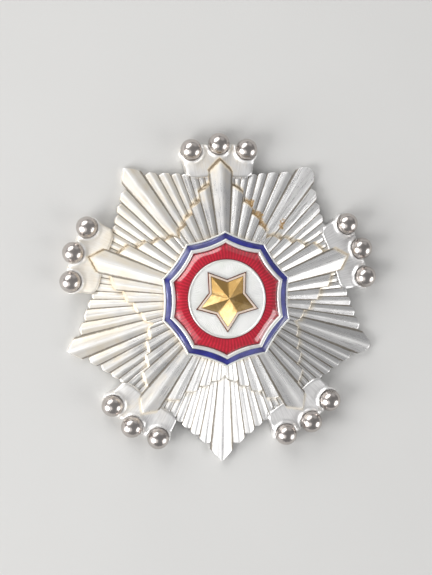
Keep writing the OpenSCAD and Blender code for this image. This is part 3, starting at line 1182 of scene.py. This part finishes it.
# %% Enamels
DARK_RED, LIGHT_RED = (0.38, 0.003, 0.018, 1), (0.68, 0.010, 0.04, 1)
RED_EDGE_SHADE, CHIPPED_RED = (0.16, 0.0, 0.01, 1), (0.85, 0.5, 0.52, 1)
DARK_BLUE, LIGHT_BLUE = (0.014, 0.013, 0.15, 1), (0.03, 0.035, 0.27, 1)
PALE_SPECKS, SHEEN_BLUE = (0.3, 0.32, 0.5, 1), (0.27, 0.28, 0.44, 1)
CUT_RAYS = 90


def red_glass():
    """Clear red glass over cut rays."""
    finish = Finish("red_enamel")
    x, y, z = finish.axes()
    turn = x.maths("ARCTAN2", x, y)
    grain = finish.cloud(0.5, 3, 0.6)
    patch = finish.cloud(3.0, 2, 0.5)
    edge, chipped = map(finish.mark, ("edge", "chip"))
    rays = (turn * CUT_RAYS + (grain - 0.5) * 1.5).sine() * 0.5 + 0.5
    light = (rays * 0.7 + (grain - 0.5) * 0.8 + (patch - 0.5) * 0.5).between(0.05, 1.0) * (1 - edge)
    wear_and_sheen = (chipped * (0.4 + grain * 1.2)).between(0.4, 0.7)
    # painted shade darkens the red along its edges
    colour = finish.layers(
        DARK_RED, (light, LIGHT_RED), (edge * 0.7, RED_EDGE_SHADE), (wear_and_sheen * 0.8, CHIPPED_RED))
    rough = 0.3 + (grain - 0.5) * 0.2
    pits = finish.bump(patch, 0.03)
    return finish.surface(
        Base_Color=colour, Roughness=rough, Specular_IOR_Level=0.1, Normal=pits,
        Coat_Weight=1.0, Coat_IOR=1.9, Coat_Roughness=0.12)


def blue_glass():
    """Opaque blue glass, with a painted pale sheen on some sides."""
    finish = Finish("blue_enamel")
    patch = finish.cloud(2.2, 3, 0.55)
    grain = finish.cloud(0.35, 3, 0.6)
    # painted pale sheen on some sides
    sheen = finish.mark("wear_and_sheen") * (0.45 + patch * 0.5)
    specks = grain.between(0.64, 0.78)
    colour = finish.layers(
        DARK_BLUE, (patch.between(0.35, 0.7), LIGHT_BLUE), (specks * 0.25, PALE_SPECKS),
        (sheen * 0.75, SHEEN_BLUE))
    pits = finish.bump(patch, 0.025)
    return finish.surface(
        Base_Color=colour, Roughness=0.42, Specular_IOR_Level=0.1, Normal=pits,
        Coat_Weight=1.0, Coat_IOR=1.75, Coat_Roughness=0.18)


red_enamel = red_glass()
blue_enamel = blue_glass()
print("enamels:", red_enamel.name, blue_enamel.name)


# %% [markdown]
# ## Gilding and the nut's metal
# The gilding is warm and mottled, with painted shade that makes it darkest
# towards the top. Its flat rim is worn pale and carries a painted pink
# reflection of the red enamel, and its sloping edge and the groove are painted
# dark as shade: the mesh says where. The nut is plain turned metal with a fine
# circular grain.

# %% Gilt and turned metal
GOLD, BROWN_GOLD = (0.74, 0.53, 0.26, 1), (0.42, 0.26, 0.09, 1)
# the rim's pale pink: partly worn gilding, partly a painted reflection of the red enamel
PALE_RIM, EDGE_SHADE = (0.93, 0.78, 0.66, 1), (0.10, 0.02, 0.015, 1)


def gilding():
    """Worn gilding on silver."""
    finish = Finish("gilt")
    edge, rim = map(finish.mark, ("edge", "rim"))
    x, y, z = finish.axes()
    # painted shade: darker towards the top
    upper = (x * 0.25 + y).between(-3.0, 2.0)
    patch = finish.cloud(1.6, 4, 0.65, 0.6)
    grain = finish.cloud(0.3, 3, 0.6)
    tarnish_and_shade = (patch + upper * 0.35).between(0.35, 0.85)
    colour = finish.layers(
        GOLD, (tarnish_and_shade, BROWN_GOLD), (rim * 0.95, PALE_RIM),
        # painted shade on the sloping edge and the groove
        (edge.between(0.35, 0.75) * 0.95, EDGE_SHADE))
    rough = 0.37 + (grain - 0.5) * 0.2 + (patch - 0.5) * 0.25 + edge * 0.2
    metal = 0.9 - 0.4 * edge - 0.6 * rim
    relief = finish.bump(patch, 0.03, finish.bump(grain, 0.008))
    return finish.surface(Base_Color=colour, Metallic=metal, Roughness=rough, Normal=relief)


def turned_metal():
    """Plain metal with fine rings."""
    finish = Finish("nut_metal")
    x, y, z = finish.axes()
    radius = (x * x + y * y) ** 0.5
    grain = finish.cloud(0.4, 3, 0.6)
    lines = (radius * 42.0 + grain * 3.0).sine() * 0.5 + 0.5
    colour = finish.mix(grain, (0.56, 0.55, 0.53, 1), (0.66, 0.65, 0.63, 1))
    rough = 0.34 + (grain - 0.5) * 0.2
    return finish.surface(
        Base_Color=colour, Metallic=1.0, Roughness=rough, Normal=finish.bump(lines, 0.004))


gilt = gilding()
nut_metal = turned_metal()

# %% [markdown]
# ## The pieces take the solids' places
# The plate is one piece of silver on the real star. Here it is four meshes,
# because fans, raised star, plaques and balls are shaped in different ways, and
# all four wear the same silver. Each other piece stands for one solid.

# %% Put the pieces in place
for piece in (fan_skin, arm_skin, plaques, balls):
    settle(piece, "star_plate", struck_silver)
settle(tray, "medallion_base", medallion_silver)
settle(blue_inlay, "blue_enamel", blue_enamel)
settle(red_inlay, "red_enamel", red_enamel)
settle(gilt_star, "gold_star", gilt)
settle(nut, "back_nut", nut_metal)
print(len(made), "pieces stand for", len(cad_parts), "solids")

# %% [markdown]
# ## Floor, lamps and camera
# The star lies on a plain pale floor. Its polished balls show how the real one
# was lit: by three soft lamps, one towards its top and one low on each side.
# The same three are set here, because silver shows only what it mirrors, and
# two weak ones stand for the glow of the walls. The camera looks almost
# straight down, tipped to the star's left.

# %% Floor
floor_finish = Finish("floor")
mottle = floor_finish.cloud(40, 3, 0.5)
fibre = floor_finish.cloud(0.5, 3, 0.6)
paper = floor_finish.mix(mottle, (0.63, 0.625, 0.61, 1), (0.67, 0.665, 0.65, 1))
paper_relief = floor_finish.bump(fibre, 0.02)
paper_surface = floor_finish.surface(Base_Color=paper, Roughness=0.75, Normal=paper_relief)
floor_mesh = bpy.data.meshes.new("floor")
FLOOR_HALF = 1.5
floor_corners = [(FLOOR_HALF * x, FLOOR_HALF * y, 0) for x, y in ((-1, -1), (1, -1), (1, 1), (-1, 1))]
floor_mesh.from_pydata(floor_corners, [], [(0, 1, 2, 3)])
floor_mesh.materials.append(paper_surface)
floor = new_object("floor", floor_mesh)
print("floor", 2 * FLOOR_HALF, "m wide")

# %% Lamps
LAMP_AWAY = 0.8
LAMPS = [
    # name, turn from the top arm, tilt from overhead, width and height in metres, watts
    ("left_lamp", 248, 69, 0.6, 0.6, 6.9),
    ("right_lamp", 117, 69, 0.56, 0.56, 2.6),
    ("top_lamp", 325, 60, 0.9, 0.5, 3.8),
    ("left_glow", 230, 42, 0.6, 0.6, 0.85),
    ("top_glow", 30, 66, 0.6, 0.6, 0.3),
]
for name, turn, tilt, wide, high, power in LAMPS:
    data = bpy.data.lights.new(name, "AREA")
    data.shape = "ELLIPSE"
    data.size = wide
    data.size_y = high
    data.energy = power
    light = new_object(name, data)
    towards = Vector((*polar(turn, sin(radians(tilt))), cos(radians(tilt))))
    light.location = towards * LAMP_AWAY
    light.rotation_euler = towards.to_track_quat("Z", "Y").to_euler()
ROOM_LIGHT = (0.25, 0.25, 0.255, 1)
world = bpy.data.worlds.new("room")
bpy.context.scene.world = world
world.use_nodes = True
room = world.node_tree.nodes["Background"].inputs
room["Color"].default_value = ROOM_LIGHT
room["Strength"].default_value = 1.0
bpy.context.scene.view_settings.view_transform = "Standard"
print(len(LAMPS), "lamps")

# %% Camera
CAMERA_TILT = 11
CAMERA_ROLL = 0.8
CAMERA_AWAY = 0.5
VIEW_HEIGHT = 0.10925
AIM = Vector((-0.91, 2.17, 1.7)) * MM
back = Vector((-sin(radians(CAMERA_TILT)), 0, cos(radians(CAMERA_TILT))))
up = Vector((*polar(CAMERA_ROLL, 1), 0))
up = (up - up.dot(back) * back).normalized()
right = up.cross(back)
camera_data = bpy.data.cameras.new("camera")
camera_data.lens = camera_data.sensor_width * CAMERA_AWAY / VIEW_HEIGHT
camera = new_object("camera", camera_data)
turned = Matrix((right, up, back)).transposed().to_4x4()
camera.matrix_world = Matrix.Translation(AIM + CAMERA_AWAY * back) @ turned
bpy.context.scene.camera = camera
print(f"camera {CAMERA_AWAY} m away, {camera_data.lens:.0f} mm lens")
